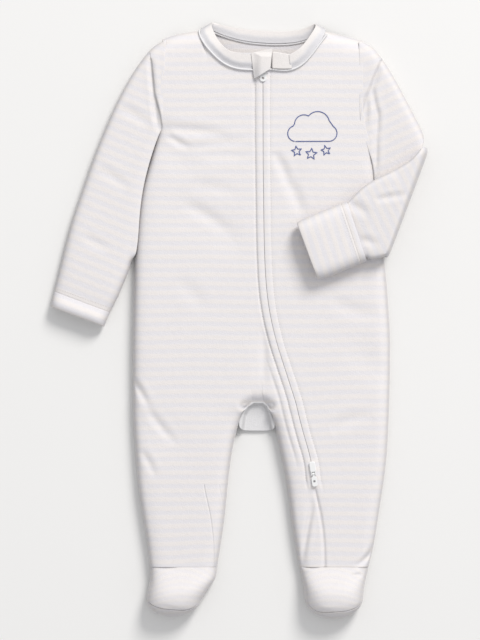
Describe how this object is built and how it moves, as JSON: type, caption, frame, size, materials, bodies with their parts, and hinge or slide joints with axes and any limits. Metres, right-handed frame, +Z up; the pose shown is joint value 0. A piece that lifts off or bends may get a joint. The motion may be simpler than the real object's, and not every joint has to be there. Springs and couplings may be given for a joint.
{
  "type": "footed baby sleepsuit",
  "caption": "Long-sleeved fleece baby sleepsuit with closed feet and a two-way zip to one leg, laid flat on its back with one sleeve folded over the chest and its mitten cuff turned back.",
  "frame": {"origin": "middle of the base, on the surface that the suit lies on, between the furthest edges of the sleeves, neck and feet", "axes": "+Y from the feet to the neck, +Z up out of the front, +X to the right as seen from above with the neck at the top"},
  "size_m": [0.3643, 0.5772, 0.0317],
  "materials": {
    "striped_fleece": "brushed fleece, narrow cream and pale lavender-grey stripes",
    "plain_fleece": "plain brushed fleece",
    "zip_tape": "fine woven tape",
    "zip_plastic": "satin"
  },
  "bodies": {
    "garment": {"back_panel": "striped_fleece", "front_left": "striped_fleece", "front_right": "striped_fleece", "crotch_gusset": "plain_fleece", "sleeve_left": "striped_fleece", "cuff_band_left": "striped_fleece", "sleeve_right": "striped_fleece", "cuff_turned_right": "striped_fleece", "cuff_hem_right": "striped_fleece", "neckband": "striped_fleece", "neck_underlap": "plain_fleece", "chin_guard": "striped_fleece", "zip_tape_left": "zip_tape", "zip_tape_right": "zip_tape", "zip_coil": "zip_tape", "vamp_left": "striped_fleece", "sole_left": "striped_fleece", "vamp_right": "striped_fleece", "sole_right": "striped_fleece", "lower_slider": "zip_plastic", "upper_slider": "zip_plastic"},
    "zip_pull": {"pull_tab": "zip_plastic"}
  },
  "joints": [
    {"name": "pull_tab_hinge", "type": "hinge", "parent": "garment", "child": "zip_pull", "pos_m": [0.0736, -0.1463, 0.0163], "axis": [-0.9914, -0.1305, 0], "range_deg": [0, 120]}
  ]
}
